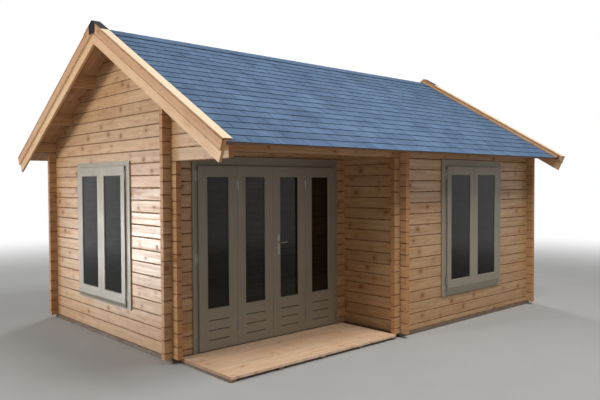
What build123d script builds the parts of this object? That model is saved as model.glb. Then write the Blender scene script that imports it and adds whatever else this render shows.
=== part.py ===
"""Log cabin with a recessed porch: stacked logs that interlock at every crossing.

Millimetres. X runs along the ridge, Y from the front to the back, Z up.
The origin is at ground level under the middle of the roof.
"""

import os
from math import cos, radians, sin, tan

from build123d import *

# Logs
course = 135.0          # height of one log
log_depth = 58.0        # thickness of one log
bevel_height = 9.0      # bevel along each log edge, measured up the face
bevel_depth = 6.0       # the same bevel, measured into the log
log_end = 95.0          # length of a log end past the crossing wall

# Plan, between the outer faces of the log walls
cabin_length = 5627.0
room_depth = 3100.0     # recessed door wall to back wall
porch_depth = 905.0
porch_width = 2547.0    # left gable to the porch side wall

# Levels, counted in courses
window_low = 2.5
window_high = 15.5
door_high = 15.5
porch_eave_level = 15   # the left gable logs run on over the porch from here

# Ground works
beam_height = 45.0
beam_width = 72.0
floor_board = 19.0
floor_gap = 3.0         # gap between the floor and the logs
joist_width = 58.0
joist_pitch = 560.0
deck_board = 28.0
deck_joist_height = 27.0
deck_board_width = 144.0
deck_board_gap = 5.0
deck_joist_count = 5
deck_gap = 5.0

# Roof
roof_pitch = 30.0
eave_rise = 256.5       # window head to the underside of the roof boards, at the face of the front wall
eave_overhang = 375.6   # front wall to the lower end of the roof boards, in plan
overhang_left = 330.0   # gable face to the outer face of the verge
overhang_right = 175.0
roof_board = 19.0
purlin_width = 58.0
purlin_depth = 140.0    # under the boards, at the purlin's middle
purlin_step = 0.3574    # distance between purlins, as a share of the way from the ridge to the eave wall
shingle_row = 145.0
shingle_drip = 2.0      # shingles past the boards' lower end
shingle_lip = 8.0
shingle_top = 4.0       # thickness where a row runs under the next one
ridge_cap_reach = 130.0
ridge_cap_thick = 4.0
verge_board = 27.0      # thickness of the bargeboard
verge_top = 70.0        # bargeboard's top edge above the soffit plane
verge_depth = 200.0     # bargeboard's depth, square to the slope
verge_reach = 69.0      # bargeboard's top edge past the boards' lower end
verge_skew = 23.0       # the lower corner runs on by this much
cover_thick = 18.0
cover_drop = 95.0       # depth of the upper cover board
verge_cap_width = 100.0
mitre_gap = 1.0
end_cap_reach = 200.0
end_cap_thick = 3.0
tongue_width = 150.0
tongue_drop = 150.0

# Windows and doors
window_share = 0.46     # a window's width, as a share of the front wall beside the porch
window_start = 0.2695   # porch side wall to the front window, as a share of the same wall
gable_window_inset = 0.25    # the gable's opening is this many courses smaller at its foot and its head
frame_proud = 15.0      # how far a frame stands out of the logs
frame_inside = 2.0
frame_stop = 15.0
frame_side = 90.0
frame_head = 83.5
frame_sill = 91.5
sill_proud = 40.0       # weather board under the sashes: its top edge in front of the logs
sill_foot_proud = 20.0  # its lower edge in front of the logs
sill_foot = 12.0        # frame left bare under it
sash_thick = 45.0
sash_proud = 20.0       # sash face in front of the frame face
sash_gap = 3.0
window_stile = 93.0
window_bottom_rail = 107.0
window_top_rail = 113.0
bead_bevel = 6.0
glass_thick = 4.0
glass_recess = 10.0     # glass behind the sash face
gable_window_offset = 875.0    # door wall to the gable window

door_offset = 182.0     # left gable's inner face to the door frame
door_rest = 157.0       # door frame to the porch side wall
door_side = 60.0
door_head = 100.0
threshold = 15.0
leaf_count = 4
leaf_stile = 115.0
leaf_top_rail = 120.0
leaf_bottom_rail = 446.0
slot_height = 10.0
slot_depth = 14.0
slot_pitch = 105.0
slot_count = 3

# Hardware
hinge_radius = 7.0
hinge_sides = 8         # flats round a knuckle
hinge_length = 105.0
hinge_plate = 20.0
hinge_plate_thick = 2.0
handle_plate_width = 38.0
handle_plate_height = 240.0
handle_plate_thick = 8.0
handle_edge = 79.0      # leaf edge to the middle of the handle plate
lever_thick = 16.0
lever_length = 115.0
lever_stand = 45.0
lever_height = 1092.0   # lever above the leaf's lower edge
lever_offset = 25.0     # lever above the middle of its plate

# Derived places
pitch = radians(roof_pitch)
roof_length = overhang_left + cabin_length + overhang_right
x_left = overhang_left - roof_length / 2
x_right = x_left + cabin_length
x_side = x_left + porch_width
y_front = -(porch_depth + room_depth) / 2
y_door = y_front + porch_depth
y_back = -y_front
z_logs = beam_height
inner_left = x_left + log_depth
inner_right = x_right - log_depth
inner_back = y_back - log_depth
verge_left = x_left - overhang_left + cover_thick
verge_right = x_right + overhang_right - cover_thick
cap_inner_left = verge_left - cover_thick + verge_cap_width
cap_inner_right = verge_right + cover_thick - verge_cap_width
boards_left = verge_left + verge_board
boards_right = verge_right - verge_board
eave_soffit = z_logs + window_high * course + eave_rise
ridge_soffit = eave_soffit - y_front * tan(pitch)
top_level = (ridge_soffit - z_logs) / course + 1
boards_slope = (eave_overhang - y_front) / cos(pitch)
verge_slope = boards_slope + verge_reach
eave = boards_slope + shingle_drip
shingle_face = roof_board + shingle_lip

os.makedirs("parts", exist_ok=True)


def level(courses):
    """Height above the ground of a level counted in courses."""
    return z_logs + courses * course


def soffit(y):
    """Height of the underside of the roof boards."""
    return ridge_soffit - abs(y) * tan(pitch)


def save(piece, name):
    """Label a finished piece and write it."""
    piece.part.label = name
    export_step(piece.part, f"parts/{name}.step")


def stack_section(low, high, first_seam, outer):
    """Outline of a stack of logs, with a bevel at both sides of every seam on its outer face.

    outer is 1 where the outer face is the far one along the section's first axis, or else -1.
    The face towards the room is planed flat.
    """
    seams = [n + first_seam for n in range(int(top_level) + 1) if low < n + first_seam < high]
    up = [(log_depth - bevel_depth, level(low))]
    up.append((log_depth, level(low) + bevel_height))
    for seam in seams:
        up.append((log_depth, level(seam) - bevel_height))
        up.append((log_depth - bevel_depth, level(seam)))
        up.append((log_depth, level(seam) + bevel_height))
    up.append((log_depth, level(high) - bevel_height))
    up.append((log_depth - bevel_depth, level(high)))
    up += [(0, level(high)), (0, level(low))]
    outline = up if outer > 0 else [(log_depth - depth, height) for depth, height in up]
    with BuildSketch(Plane.XY) as section:
        with BuildLine():
            Polyline(*outline, close=True)
        make_face()
    return section.sketch


def cross_stack(face, start, end, low, high, outer=-1):
    """Logs that run along Y, with whole logs from the ground up."""
    place = Plane(origin=(face, start, 0), x_dir=(1, 0, 0), z_dir=(0, -1, 0))
    extrude(place * stack_section(low, high, 0, outer), amount=start - end)


def long_stack(face, start, end, low, high, outer=-1):
    """Logs that run along X, with a half log at the ground."""
    place = Plane(origin=(start, face, 0), x_dir=(0, 1, 0), z_dir=(1, 0, 0))
    extrude(place * stack_section(low, high, 0.5, outer), amount=end - start)


def notch(x, y, low, high):
    """Notches of half a course, one at each level from low to high in whole steps."""
    count = int(high - low) + 1
    middle_x = x + log_depth / 2
    middle_y = y + log_depth / 2
    with Locations(*[(middle_x, middle_y, level(low + n)) for n in range(count)]):
        Box(log_depth, log_depth, course / 2, mode=Mode.SUBTRACT)


def cross_notches(x, crossings, low, high):
    """Notches in a wall along Y at the walls along X that cross it."""
    for y, first in crossings:
        notch(x, y, max(low, first), high)


def long_notches(y, crossings, low, high):
    """Notches in a wall along X at the walls along Y that cross it."""
    for x, first in crossings:
        notch(x, y, max(low, first) + 0.5, high)


def trim_to_roof():
    """Keep what lies under the roof boards."""
    reach = abs(y_front) + 2 * log_end
    outline = [(-reach, 0), (reach, 0), (reach, soffit(reach)), (0, ridge_soffit), (-reach, soffit(reach))]
    place = Plane(origin=(0, 0, 0), x_dir=(0, 1, 0), z_dir=(1, 0, 0))
    with BuildSketch(place) as gable_outline:
        with BuildLine():
            Polyline(*outline, close=True)
        make_face()
    extrude(gable_outline.sketch, amount=roof_length, both=True, mode=Mode.INTERSECT)


def cut_box(x_range, y_range, z_range):
    """Cut away one upright box."""
    place_box(x_range, y_range, z_range, Mode.SUBTRACT)


def place_box(x_range, y_range, z_range, mode=Mode.ADD):
    """One upright box between two corners."""
    size = [high - low for low, high in (x_range, y_range, z_range)]
    middle = [(high + low) / 2 for low, high in (x_range, y_range, z_range)]
    with Locations(tuple(middle)):
        Box(*size, mode=mode)


def purlin_pockets(start, end):
    """Pockets for the purlins that pass through a wall along Y."""
    height = purlin_depth + course
    places = [(0, y, soffit(y) - purlin_depth + height / 2) for y in purlin_places if start < y < end]
    with Locations(*places):
        Box(roof_length, purlin_width, height, mode=Mode.SUBTRACT)


purlin_places = [n * purlin_step * inner_back for n in range(-2, 3)]

front_length = x_right - x_side
window_width = window_share * front_length
window_left = x_side + window_start * front_length
window_right = window_left + window_width
gable_window_near = y_door + gable_window_offset
gable_window_far = gable_window_near + window_width
door_left = inner_left + door_offset
door_right = x_side - door_rest
window_levels = (level(window_low), level(window_high))
gable_window_low = window_low + gable_window_inset
gable_window_levels = (level(gable_window_low), level(window_high - gable_window_inset))

# Foundation beams

beam_side = (beam_width - log_depth) / 2
with BuildPart() as foundation_long:
    for x_range, y in (
        ((x_side - beam_side, x_right + beam_side), y_front),
        ((x_left - beam_side, x_side - beam_side), y_door),
        ((x_left - beam_side, x_right + beam_side), inner_back),
    ):
        place_box(x_range, (y - beam_side, y + log_depth + beam_side), (0, beam_height))
save(foundation_long, "foundation_beams_long")

with BuildPart() as foundation_cross:
    for x, y in ((x_left, y_door), (x_side, y_front), (inner_right, y_front)):
        place_box(
            (x - beam_side, x + log_depth + beam_side),
            (y + log_depth + beam_side, inner_back - beam_side),
            (0, beam_height),
        )
save(foundation_cross, "foundation_beams_cross")

# Floor of the room, which is L-shaped in plan

with BuildPart() as floor_joists:
    joist_low = inner_left + beam_side
    bay_count = int((inner_right - joist_low) / joist_pitch)
    for n in range(1, bay_count + 1):
        x = joist_low + n * joist_pitch
        under_side_wall = abs(x - x_side - log_depth / 2) < joist_width / 2 + beam_width / 2
        if not under_side_wall:
            near = y_front if x > x_side else y_door
            place_box(
                (x - joist_width / 2, x + joist_width / 2),
                (near + log_depth + beam_side, inner_back - beam_side),
                (0, beam_height),
            )
save(floor_joists, "floor_joists")

floor_range = (beam_height, beam_height + floor_board)
with BuildPart() as floor_back:
    place_box(
        (inner_left + floor_gap, inner_right - floor_gap),
        (y_door + log_depth + floor_gap, inner_back - floor_gap),
        floor_range,
    )
    cut_box(
        (x_side - floor_gap, x_side + log_depth + floor_gap),
        (y_door, y_door + log_depth + log_end + floor_gap),
        floor_range,
    )
save(floor_back, "floor_boards_back")

with BuildPart() as floor_front:
    place_box(
        (x_side + log_depth + floor_gap, inner_right - floor_gap),
        (y_front + log_depth + floor_gap, y_door + log_depth + floor_gap),
        floor_range,
    )
    cut_box(
        (x_side, x_side + log_depth + log_end + floor_gap),
        (y_door - floor_gap, inner_back),
        floor_range,
    )
save(floor_front, "floor_boards_front")

# Porch deck

deck_left = inner_left + deck_gap
deck_right = x_side - log_end - deck_gap
deck_back = y_door - frame_proud - sash_proud - deck_gap
deck_step = deck_board_width + deck_board_gap
deck_board_count = round((deck_back - y_front) / deck_step)
deck_front = deck_back - deck_board_count * deck_step + deck_board_gap
deck_top = deck_joist_height + deck_board
with BuildPart() as deck_joists:
    for n in range(deck_joist_count):
        x = deck_left + n * (deck_right - deck_left - joist_width) / (deck_joist_count - 1)
        place_box((x, x + joist_width), (deck_front, y_door - beam_side), (0, deck_joist_height))
save(deck_joists, "deck_joists")

with BuildPart() as deck_boards:
    for n in range(deck_board_count):
        y = deck_back - n * deck_step
        place_box((deck_left, deck_right), (y - deck_board_width, y), (deck_joist_height, deck_top))
save(deck_boards, "deck_boards")

# Left gable, with a window; its top logs run on over the porch

window_opening = (
    (x_left - course, inner_left + course),
    (gable_window_near, gable_window_far),
    gable_window_levels,
)
gable_start = y_door - log_end
gable_end = y_back + log_end
gable_crossings = ((y_door, 0), (inner_back, 0))
split_low = int(gable_window_low) + 1

with BuildPart() as gable_left_low:
    cross_stack(x_left, gable_start, gable_end, 0, split_low)
    cross_notches(x_left, gable_crossings, 0, split_low)
    cut_box(*window_opening)
save(gable_left_low, "gable_left_low")

with BuildPart() as gable_left_near:
    cross_stack(x_left, gable_start, gable_window_near, split_low, porch_eave_level)
    cross_notches(x_left, gable_crossings[:1], split_low, porch_eave_level)
save(gable_left_near, "gable_left_near")

with BuildPart() as gable_left_far:
    cross_stack(x_left, gable_window_far, gable_end, split_low, porch_eave_level)
    cross_notches(x_left, gable_crossings[1:], split_low, porch_eave_level)
save(gable_left_far, "gable_left_far")

with BuildPart() as gable_left_top:
    cross_stack(x_left, y_front - log_end, gable_end, porch_eave_level, top_level)
    trim_to_roof()
    cross_notches(x_left, gable_crossings, porch_eave_level, top_level)
    cross_notches(x_left, ((y_front, porch_eave_level + 1),), 0, top_level)
    cut_box(*window_opening)
    purlin_pockets(y_front, y_back)
save(gable_left_top, "gable_left_top")

# Wall between the porch and the room

with BuildPart() as porch_side_wall:
    cross_stack(x_side, y_front - log_end, y_door + log_depth + log_end, 0, top_level)
    trim_to_roof()
    cross_notches(x_side, ((y_front, 0), (y_door, 0)), 0, top_level)
    purlin_pockets(y_front, y_door + log_depth + log_end)
save(porch_side_wall, "porch_side_wall")

# Right gable

with BuildPart() as gable_right:
    cross_stack(inner_right, y_front - log_end, gable_end, 0, top_level, 1)
    trim_to_roof()
    cross_notches(inner_right, ((y_front, 0), (inner_back, 0)), 0, top_level)
    purlin_pockets(y_front, y_back)
save(gable_right, "gable_right")

# Front wall, with a window; its top logs run on across the porch

front_start = x_side - log_end
front_end = x_right + log_end
front_crossings = ((x_side, 0), (inner_right, 0))

with BuildPart() as front_wall_low:
    long_stack(y_front, front_start, front_end, 0, window_low)
    long_notches(y_front, front_crossings, 0, window_low)
save(front_wall_low, "front_wall_low")

with BuildPart() as front_wall_near:
    long_stack(y_front, front_start, window_left, window_low, window_high)
    long_notches(y_front, front_crossings[:1], int(window_low), window_high)
save(front_wall_near, "front_wall_near")

with BuildPart() as front_wall_far:
    long_stack(y_front, window_right, front_end, window_low, window_high)
    long_notches(y_front, front_crossings[1:], int(window_low), window_high)
save(front_wall_far, "front_wall_far")

eave_log_level = window_high + 1
with BuildPart() as front_wall_top:
    long_stack(y_front, x_left - log_end, front_end, window_high, eave_log_level)
    long_notches(y_front, (*front_crossings, (x_left, porch_eave_level)), int(window_high), eave_log_level)
save(front_wall_top, "front_wall_top")

# Door wall at the back of the porch

door_wall_end = x_side + log_depth + log_end
with BuildPart() as door_wall_left:
    long_stack(y_door, x_left - log_end, door_left, 0, door_high)
    long_notches(y_door, ((x_left, 0),), 0, door_high)
save(door_wall_left, "door_wall_left")

with BuildPart() as door_wall_right:
    long_stack(y_door, door_right, door_wall_end, 0, door_high)
    long_notches(y_door, ((x_side, 0),), 0, door_high)
save(door_wall_right, "door_wall_right")

with BuildPart() as door_wall_top:
    long_stack(y_door, x_left - log_end, door_wall_end, door_high, top_level)
    trim_to_roof()
    long_notches(y_door, ((x_left, 0), (x_side, 0)), int(door_high), top_level)
save(door_wall_top, "door_wall_top")

# Back wall

back_crossings = ((x_left, 0), (inner_right, 0))
with BuildPart() as back_wall:
    long_stack(inner_back, x_left - log_end, front_end, 0, eave_log_level, 1)
    long_notches(inner_back, back_crossings, 0, eave_log_level)
save(back_wall, "back_wall")

# Top logs of the front and the back, which run out to both verges and carry the roof boards

eave_walls = ((y_front, -1, (*front_crossings, (x_left, 0))), (inner_back, 1, back_crossings))
with BuildPart() as eave_logs:
    for y, outer, crossings in eave_walls:
        long_stack(y, boards_left, boards_right, eave_log_level, eave_log_level + 2, outer)
    trim_to_roof()
    for y, outer, crossings in eave_walls:
        long_notches(y, crossings, int(eave_log_level), eave_log_level + 2)
save(eave_logs, "eave_logs")

# Purlins

with BuildPart() as purlins:
    for y in purlin_places:
        place_box(
            (boards_left, boards_right),
            (y - purlin_width / 2, y + purlin_width / 2),
            (soffit(y) - purlin_depth, ridge_soffit + course),
        )
    trim_to_roof()
save(purlins, "purlins")


def slope_plane(x, side):
    """Sketch plane with its first axis down the slope and its second square to it.

    side is -1 for the front slope and 1 for the back slope.
    """
    down = (0, side * cos(pitch), -sin(pitch))
    return Plane(origin=(x, 0, ridge_soffit), x_dir=down, z_dir=(side, 0, 0))


def slope_piece(outline, x_range, side, mode=Mode.ADD):
    """Extrude an outline drawn on the slope's own axes along the ridge."""
    width = x_range[1] - x_range[0]
    with BuildSketch(slope_plane(sum(x_range) / 2, side)) as profile:
        with BuildLine():
            Polyline(*outline, close=True)
        make_face()
    extrude(profile.sketch, amount=width / 2, both=True, mode=mode)


def ridge_point(height, gap=0):
    """Where a line at this height over the soffit plane meets the ridge's upright plane."""
    return ((gap - height * sin(pitch)) / cos(pitch), height)


def slope_slab(low, high, length, gap=0, lower_end=None):
    """Outline of a board on the slope, cut upright at the ridge and square at the eave."""
    return [ridge_point(low, gap), ridge_point(high, gap), (length, high), (lower_end or length, low)]


# Roof boards and shingles

shingle_rows = int((eave - ridge_cap_reach) / shingle_row) + 1
for side, name in ((-1, "front"), (1, "back")):
    with BuildPart() as roof_boards:
        slope_piece(slope_slab(0, roof_board, boards_slope), (boards_left, boards_right), side)
    save(roof_boards, f"roof_boards_{name}")

    steps = []
    for n in range(shingle_rows):
        lower = eave - n * shingle_row
        steps.append((lower, roof_board + shingle_lip))
        if n < shingle_rows - 1:
            steps.append((lower - shingle_row, roof_board + shingle_top))
    with BuildPart() as shingles:
        outline = [ridge_point(roof_board), (eave, roof_board), *steps, ridge_point(shingle_face)]
        slope_piece(outline, (boards_left, boards_right), side)
    save(shingles, f"shingles_{name}")

with BuildPart() as ridge_cap:
    for side in (-1, 1):
        slope_piece(
            slope_slab(shingle_face, shingle_face + ridge_cap_thick, ridge_cap_reach),
            (cap_inner_left, cap_inner_right),
            side,
        )
save(ridge_cap, "ridge_cap")

# Bargeboards, and the caps that fold over them


def verge_end(height):
    """Length of the verge pieces at a height over the soffit plane; their lower end is raked."""
    return verge_slope + verge_skew * (verge_top - height) / verge_depth


def verge_slab(low, high):
    """Outline of a verge piece with the raked lower end."""
    return slope_slab(low, high, verge_end(high), mitre_gap / 2, verge_end(low))


def mirror_range(x_range):
    """The same range of X at the right-hand verge."""
    return (verge_left + verge_right - x_range[1], verge_left + verge_right - x_range[0])


board_range = (verge_left, boards_left)
cover_range = (verge_left - cover_thick, verge_left)
cap_range = (verge_left - cover_thick, cap_inner_left)
leg_range = (cap_inner_left - cover_thick, cap_inner_left)
cap_top = verge_top + cover_thick

for name, place in (("left", lambda x_range: x_range), ("right", mirror_range)):
    with BuildPart() as bargeboards:
        for side in (-1, 1):
            slope_piece(verge_slab(verge_top - verge_depth, verge_top), place(board_range), side)
    save(bargeboards, f"bargeboards_{name}")

    with BuildPart() as verge_caps:
        for side in (-1, 1):
            slope_piece(verge_slab(verge_top - cover_drop, verge_top), place(cover_range), side)
            slope_piece(verge_slab(verge_top, cap_top), place(cap_range), side)
            leg = slope_slab(shingle_face, verge_top, eave, mitre_gap / 2)
            slope_piece(leg, place(leg_range), side)
    save(verge_caps, f"verge_caps_{name}")

with BuildPart() as ridge_end_caps:
    apex = ridge_soffit + (cap_top + end_cap_thick) / cos(pitch)
    shoulder = apex - tongue_width / 2 * tan(pitch)
    tongue = [
        (-tongue_width / 2, apex - tongue_drop),
        (tongue_width / 2, apex - tongue_drop),
        (tongue_width / 2, shoulder),
        (0, apex),
        (-tongue_width / 2, shoulder),
    ]
    for place in (lambda x_range: x_range, mirror_range):
        for side in (-1, 1):
            fold = slope_slab(cap_top, cap_top + end_cap_thick, end_cap_reach)
            slope_piece(fold, place((cap_range[0] - end_cap_thick, cap_range[1])), side)
        face_range = place((cap_range[0] - end_cap_thick, cap_range[0]))
        with BuildSketch(Plane(origin=(face_range[0], 0, 0), x_dir=(0, 1, 0), z_dir=(1, 0, 0))):
            with BuildLine():
                Polyline(*tongue, close=True)
            make_face()
        extrude(amount=end_cap_thick)
save(ridge_end_caps, "ridge_end_caps")


# Joinery: each opening has a plane on the outer log face, its first axis along the wall,
# its second axis up from the foot of the opening and its third axis out of the wall

front_window_plane = Plane(
    origin=((window_left + window_right) / 2, y_front, window_levels[0]), x_dir=(1, 0, 0), z_dir=(0, -1, 0)
)
gable_window_plane = Plane(
    origin=(x_left, (gable_window_near + gable_window_far) / 2, gable_window_levels[0]),
    x_dir=(0, -1, 0),
    z_dir=(-1, 0, 0),
)
door_plane = Plane(origin=((door_left + door_right) / 2, y_door, level(0)), x_dir=(1, 0, 0), z_dir=(0, -1, 0))
sash_face = frame_proud + sash_proud
sash_back = sash_face - sash_thick
pane_face = sash_face - glass_recess
frame_back = -log_depth - frame_inside


def panel(plane, across, up, out, mode=Mode.ADD):
    """A rectangle on the plane's own axes, extruded between two depths."""
    middle = ((across[0] + across[1]) / 2, (up[0] + up[1]) / 2)
    with BuildSketch(plane.offset(out[0])) as face:
        with Locations(middle):
            Rectangle(across[1] - across[0], up[1] - up[0])
    extrude(face.sketch, amount=out[1] - out[0], mode=mode)


def frame(plane, width, height, side, head, sill, stop_at_foot):
    """A frame that lines an opening, with a rebate that the sashes close against."""
    inner = (side - width / 2, width / 2 - side)
    clear = (inner[0] + frame_stop, inner[1] - frame_stop)
    panel(plane, (-width / 2, width / 2), (0, height), (frame_back, frame_proud))
    panel(plane, inner, (sill, height - head), (sash_back, frame_proud), Mode.SUBTRACT)
    panel(plane, clear, (sill + stop_at_foot, height - head - frame_stop), (frame_back, sash_back), Mode.SUBTRACT)


def weather_board(plane, width, side, sill):
    """A board in front of a frame's sill, with a face that leans in towards its foot."""
    outline = [
        (frame_proud, sill_foot),
        (sill_foot_proud, sill_foot),
        (sill_proud, sill),
        (frame_proud, sill),
    ]
    middle = Plane(origin=plane.origin, x_dir=plane.z_dir, z_dir=-plane.x_dir)
    with BuildSketch(middle) as profile:
        with BuildLine():
            Polyline(*outline, close=True)
        make_face()
    extrude(profile.sketch, amount=width / 2 - side, both=True)


def sash_ranges(width, height, side, head, sill, count):
    """Places of the sashes that fill a frame side by side, with even gaps."""
    inner = width - 2 * side
    sash_width = (inner - (count + 1) * sash_gap) / count
    up = (sill + sash_gap, height - head - sash_gap)
    starts = [sash_gap - inner / 2 + n * (sash_width + sash_gap) for n in range(count)]
    return [((start, start + sash_width), up) for start in starts]


def pane_range(across, up, stile, bottom_rail, top_rail):
    """The opening in a sash that holds its pane."""
    return (across[0] + stile, across[1] - stile), (up[0] + bottom_rail, up[1] - top_rail)


def sash(plane, across, up, pane):
    """A sash with a bevel round the outer edge of its pane opening."""
    with BuildPart(mode=Mode.PRIVATE) as one:
        panel(plane, across, up, (sash_back, sash_face))
        panel(plane, *pane, (sash_back, sash_face), Mode.SUBTRACT)
        outer_face = one.faces().sort_by(Axis(plane.origin, plane.z_dir))[-1]
        chamfer(outer_face.inner_wires()[0].edges(), bead_bevel)
    return one.part


def hinge(plane, across, up, depth, plate_across):
    """A knuckle standing on a plate."""
    panel(
        plane,
        (across - plate_across[0], across + plate_across[1]),
        (up - hinge_length / 2, up + hinge_length / 2),
        (depth, depth + hinge_plate_thick),
    )
    foot = plane.location * Location((across, up - hinge_length / 2, depth + hinge_radius))
    knuckle_plane = Plane(origin=foot.position, x_dir=plane.x_dir, z_dir=plane.y_dir)
    with BuildSketch(knuckle_plane) as knuckle:
        RegularPolygon(hinge_radius, hinge_sides)
    extrude(knuckle.sketch, amount=hinge_length)


frame_inset = gable_window_inset * course
windows = (
    ("front", front_window_plane, window_levels, frame_head, frame_sill),
    ("gable", gable_window_plane, gable_window_levels, frame_head - frame_inset, frame_sill - frame_inset),
)
window_rails = (window_stile, window_bottom_rail, window_top_rail)
window_hinge_places = []

for name, plane, (foot, top), head, sill in windows:
    window_sizes = (window_width, top - foot, frame_side, head, sill)
    window_sashes = sash_ranges(*window_sizes, 2)
    window_panes = [pane_range(*place, *window_rails) for place in window_sashes]
    sash_low, sash_high = window_sashes[0][1]
    window_hinge_places.append((plane, sash_low + hinge_length))
    window_hinge_places.append((plane, sash_high - hinge_length))

    with BuildPart() as window_frame:
        frame(plane, *window_sizes, frame_stop)
        weather_board(plane, window_width, frame_side, sill)
    save(window_frame, f"{name}_window_frame")

    with BuildPart() as window_sash_pair:
        for place, pane in zip(window_sashes, window_panes):
            add(sash(plane, *place, pane))
    save(window_sash_pair, f"{name}_window_sashes")

    with BuildPart() as window_glass:
        for pane in window_panes:
            panel(plane, *pane, (pane_face - glass_thick, pane_face))
    save(window_glass, f"{name}_window_glass")

door_height = door_high * course
door_sizes = (door_right - door_left, door_height, door_side, door_head, threshold)
leaf_rails = (leaf_stile, leaf_bottom_rail, leaf_top_rail)
door_leaves = sash_ranges(*door_sizes, leaf_count)
door_panes = [pane_range(*place, *leaf_rails) for place in door_leaves]

with BuildPart() as door_frame:
    frame(door_plane, *door_sizes, 0)
save(door_frame, "door_frame")

for number, (place, pane) in enumerate(zip(door_leaves, door_panes), start=1):
    with BuildPart() as leaf:
        add(sash(door_plane, *place, pane))
        for n in range(slot_count):
            middle = place[1][0] + (n + 1) * slot_pitch
            slot = (middle - slot_height / 2, middle + slot_height / 2)
            panel(door_plane, pane[0], slot, (sash_face - slot_depth, sash_face), Mode.SUBTRACT)
    save(leaf, f"door_leaf_{number}")

with BuildPart() as door_glass:
    for pane in door_panes:
        panel(door_plane, *pane, (pane_face - glass_thick, pane_face))
save(door_glass, "door_glass")

# Hinges and the door handle

leaf_low, leaf_high = door_leaves[0][1]
frame_hinge_heights = (leaf_low + hinge_length, (leaf_low + leaf_high) / 2, leaf_high - hinge_length)
fold_hinge_heights = (leaf_low + 2 * hinge_length, leaf_high - 2 * hinge_length)
side_plate = hinge_radius + hinge_plate

with BuildPart() as window_hinges:
    outer_left = window_sashes[0][0][0] - hinge_radius
    outer_right = window_sashes[-1][0][1] + hinge_radius
    for plane, height in window_hinge_places:
        hinge(plane, outer_left, height, frame_proud, (side_plate, hinge_radius))
        hinge(plane, outer_right, height, frame_proud, (hinge_radius, side_plate))
save(window_hinges, "window_hinges")

with BuildPart() as door_hinges:
    for height in frame_hinge_heights:
        outer_left = door_leaves[0][0][0] - hinge_radius
        outer_right = door_leaves[-1][0][1] + hinge_radius
        hinge(door_plane, outer_left, height, frame_proud, (side_plate, hinge_radius))
        hinge(door_plane, outer_right, height, frame_proud, (hinge_radius, side_plate))
    for fold in (0, 2):
        middle = door_leaves[fold][0][1] + sash_gap / 2
        for height in fold_hinge_heights:
            hinge(door_plane, middle, height, sash_face, (hinge_plate, hinge_plate))
save(door_hinges, "door_hinges")

with BuildPart() as door_handle:
    handle_across = door_leaves[2][0][0] + handle_edge
    lever_up = leaf_low + lever_height
    plate_middle = lever_up - lever_offset
    plate_face = sash_face + handle_plate_thick
    lever_face = plate_face + lever_stand
    lever_sides = (lever_up - lever_thick / 2, lever_up + lever_thick / 2)
    panel(
        door_plane,
        (handle_across - handle_plate_width / 2, handle_across + handle_plate_width / 2),
        (plate_middle - handle_plate_height / 2, plate_middle + handle_plate_height / 2),
        (sash_face, plate_face),
    )
    panel(
        door_plane,
        (handle_across - lever_thick / 2, handle_across + lever_thick / 2),
        lever_sides,
        (plate_face, lever_face),
    )
    panel(
        door_plane,
        (handle_across - lever_thick / 2, handle_across + lever_length),
        lever_sides,
        (lever_face - lever_thick, lever_face),
    )
save(door_handle, "door_handle")
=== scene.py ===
"""Looks of a log cabin with a recessed porch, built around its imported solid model.

Metres, in the model's own frame: X along the ridge, Y from the front to the back, Z up.
"""

import math
import random

import bmesh
import bpy
from mathutils import Matrix, Vector


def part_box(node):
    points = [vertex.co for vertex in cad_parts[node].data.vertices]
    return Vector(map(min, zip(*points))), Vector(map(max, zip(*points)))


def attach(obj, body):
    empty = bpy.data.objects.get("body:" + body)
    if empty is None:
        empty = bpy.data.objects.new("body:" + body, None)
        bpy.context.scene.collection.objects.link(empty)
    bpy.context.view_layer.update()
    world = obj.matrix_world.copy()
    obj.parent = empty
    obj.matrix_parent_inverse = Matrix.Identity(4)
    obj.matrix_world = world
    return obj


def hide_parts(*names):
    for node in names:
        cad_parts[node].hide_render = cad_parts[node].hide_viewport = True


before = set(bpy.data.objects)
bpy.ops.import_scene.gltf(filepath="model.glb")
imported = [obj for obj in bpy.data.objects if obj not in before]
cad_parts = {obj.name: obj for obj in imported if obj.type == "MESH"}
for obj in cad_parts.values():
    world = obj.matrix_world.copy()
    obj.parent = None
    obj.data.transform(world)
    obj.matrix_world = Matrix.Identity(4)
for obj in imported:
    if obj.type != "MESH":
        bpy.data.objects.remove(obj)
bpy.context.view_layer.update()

# Sizes that the pieces share with the solid model
PITCH = math.radians(30)
COURSE = 0.135
LOGS_FOOT = 0.045
ROOF_BOARD = 0.019
SHINGLE_ROW = 0.145
SHINGLE_DRIP = 0.002    # shingles past the roof boards' lower end
SHINGLE_LIP = 0.008     # thickness at a row's lower edge
CAP_REACH = 0.130       # the ridge cap's reach down each slope
VERGE_DEPTH = 0.200     # bargeboard, and its lower edge over the soffit plane
VERGE_FOOT = -0.130
COVER_DEPTH = 0.095     # the bargeboard's cover board
COVER_FOOT = -0.025
DOOR_SLOTS = 3
SLOT_PITCH = 0.105
SLOT_HALF = 0.005
SLOT_DEPTH = 0.014
PLATE_WIDTH = 0.038     # the door handle's plate
PLATE_THICK = 0.008
LEVER_ROOM = 0.016      # depth of the solid model's lever
LEVER_UP = 0.145        # the lever's middle over the plate's low end

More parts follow.
